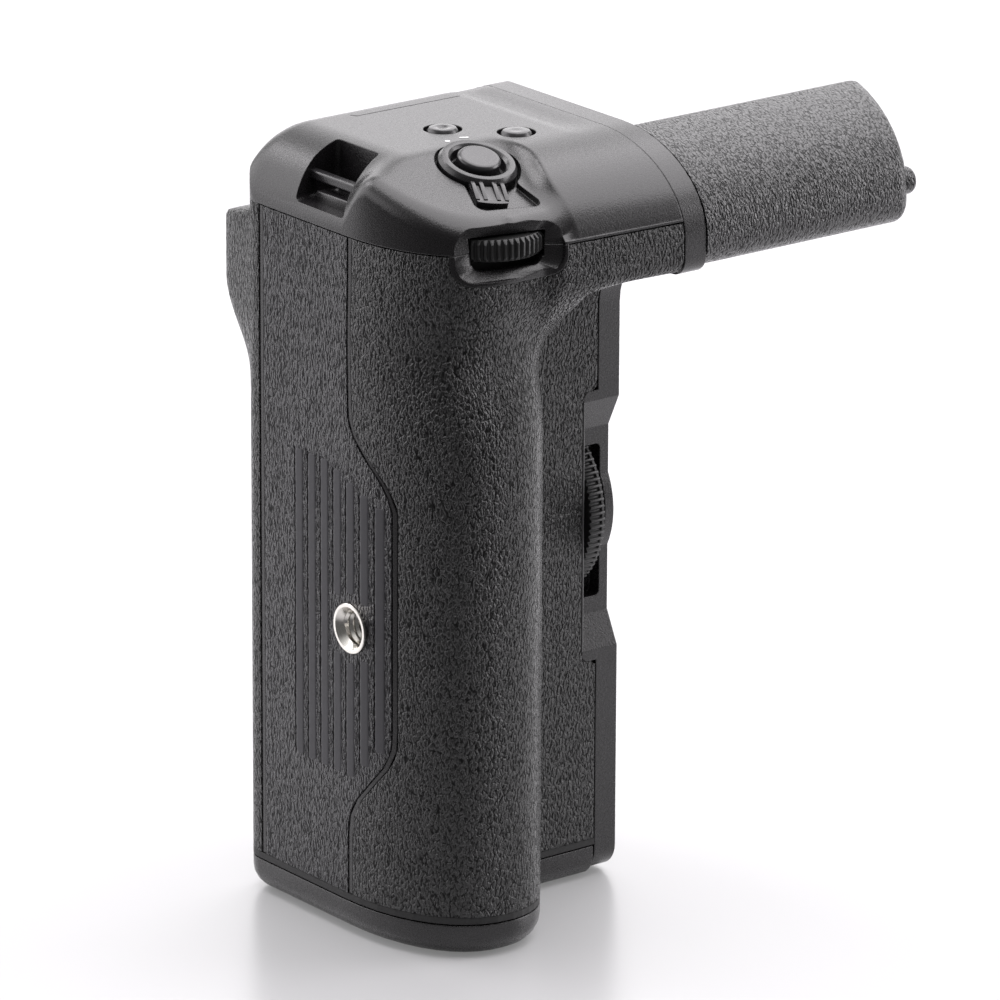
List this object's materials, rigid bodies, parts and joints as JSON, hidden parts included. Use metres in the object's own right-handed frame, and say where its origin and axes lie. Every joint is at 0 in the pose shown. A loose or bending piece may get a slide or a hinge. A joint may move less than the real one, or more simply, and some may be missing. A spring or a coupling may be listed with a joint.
{
  "type": "camera battery grip",
  "caption": "Vertical battery grip for a camera: leather-grain handle with shutter, dials and thumb controls, a battery drawer, a fixing wheel and a stem for the camera's battery chamber.",
  "frame": {"origin": "under the middle of the bounding box, on the battery door's foot", "axes": "+Z from the battery door up to the control end, +X towards the camera, -Y towards the fingers"},
  "size_m": [0.1119, 0.071, 0.1456],
  "materials": {
    "rubber": "leather-grain moulded rubber",
    "base_rubber": "leather-grain moulded rubber, slightly lighter",
    "shell_plastic": "fine-grain satin black",
    "frame_plastic": "plain black",
    "gloss_black": "polished black",
    "dial_black": "ridged black",
    "button_grey": "satin grey",
    "lock_grey": "satin dark grey",
    "steel": "machined nickel-plated",
    "bush_brass": "turned",
    "contact_gold": "plated contacts",
    "board_green": "circuit board",
    "cell_grey": "moulded cell case"
  },
  "bodies": {
    "grip_body": {"chassis": "frame_plastic", "front_cover": "rubber", "base_cover": "base_rubber", "rear_cover": "rubber", "cover_trim": "shell_plastic", "end_cover": "shell_plastic", "mount_plate": "shell_plastic", "dial_bezel": "gloss_black", "tripod_bushing": "steel", "strap_bar": "lock_grey", "control_board": "board_green", "dial_shaft": "steel", "wheel_bush": "bush_brass", "locating_pins": "steel", "plate_screws": "lock_grey", "stem_core": "frame_plastic", "stem_sleeve": "rubber", "stem_terminal": "gloss_black", "rear_panel": "shell_plastic", "rear_dial_shaft": "steel", "bay_contacts": "contact_gold"},
    "shutter": {"shutter_button": "button_grey"},
    "lock": {"lock_lever": "lock_grey"},
    "left_button": {"function_button_left": "button_grey"},
    "right_button": {"function_button_right": "button_grey"},
    "thumbwheel": {"front_dial": "dial_black"},
    "fixing": {"fixing_wheel": "dial_black", "camera_screw": "steel"},
    "rear_wheel": {"rear_dial": "dial_black"},
    "upper_button": {"rear_button_upper": "button_grey"},
    "lower_button": {"rear_button_lower": "button_grey"},
    "selector_gimbal": {"selector_ring": "dial_black"},
    "selector": {"selector_stick": "steel", "selector_cap": "dial_black"},
    "drawer": {"battery_door": "shell_plastic", "battery_tray": "frame_plastic", "battery_inner": "cell_grey", "battery_outer": "cell_grey", "tray_contacts": "contact_gold"},
    "latch": {"door_latch": "dial_black"}
  },
  "joints": [
    {"name": "shutter_press", "type": "slide", "parent": "grip_body", "child": "shutter", "axis": [0, 0.309, -0.9511], "range_m": [0, 0.0008], "stiffness_N_per_m": 300},
    {"name": "lock_turn", "type": "hinge", "parent": "grip_body", "child": "lock", "pos_m": [-0.03199, -0.0132, 0.14229], "axis": [0, -0.309, 0.9511], "range_deg": [0, 25]},
    {"name": "left_button_press", "type": "slide", "parent": "grip_body", "child": "left_button", "axis": [0, 0, -1], "range_m": [0, 0.0006], "stiffness_N_per_m": 300},
    {"name": "right_button_press", "type": "slide", "parent": "grip_body", "child": "right_button", "axis": [0, 0, -1], "range_m": [0, 0.0006], "stiffness_N_per_m": 300},
    {"name": "front_dial_turn", "type": "hinge", "parent": "grip_body", "child": "thumbwheel", "pos_m": [-0.03599, -0.0216, 0.132], "axis": [0, 0, 1], "continuous": true},
    {"name": "fixing_wheel_turn", "type": "hinge", "parent": "grip_body", "child": "fixing", "pos_m": [-0.00309, 0.0057, 0.0703], "axis": [1, 0, 0], "continuous": true},
    {"name": "rear_dial_turn", "type": "hinge", "parent": "grip_body", "child": "rear_wheel", "pos_m": [-0.01694, 0.0218, 0.1268], "axis": [0, 0, 1], "continuous": true},
    {"name": "upper_button_press", "type": "slide", "parent": "grip_body", "child": "upper_button", "axis": [0, -1, 0], "range_m": [0, 0.0005], "stiffness_N_per_m": 300},
    {"name": "lower_button_press", "type": "slide", "parent": "grip_body", "child": "lower_button", "axis": [0, -1, 0], "range_m": [0, 0.0005], "stiffness_N_per_m": 300},
    {"name": "selector_side_tilt", "type": "hinge", "parent": "grip_body", "child": "selector_gimbal", "pos_m": [-0.02044, 0.025, 0.1093], "axis": [0, 0, 1], "range_deg": [-6, 6], "stiffness_Nm_per_rad": 0.004},
    {"name": "selector_up_tilt", "type": "hinge", "parent": "selector_gimbal", "child": "selector", "pos_m": [-0.02044, 0.025, 0.1093], "axis": [1, 0, 0], "range_deg": [-6, 6], "stiffness_Nm_per_rad": 0.004},
    {"name": "drawer_slide", "type": "slide", "parent": "grip_body", "child": "drawer", "axis": [0, 0, -1], "range_m": [0, 0.116]},
    {"name": "latch_slide", "type": "slide", "parent": "drawer", "child": "latch", "axis": [1, 0, 0], "range_m": [0, 0.0025]}
  ]
}
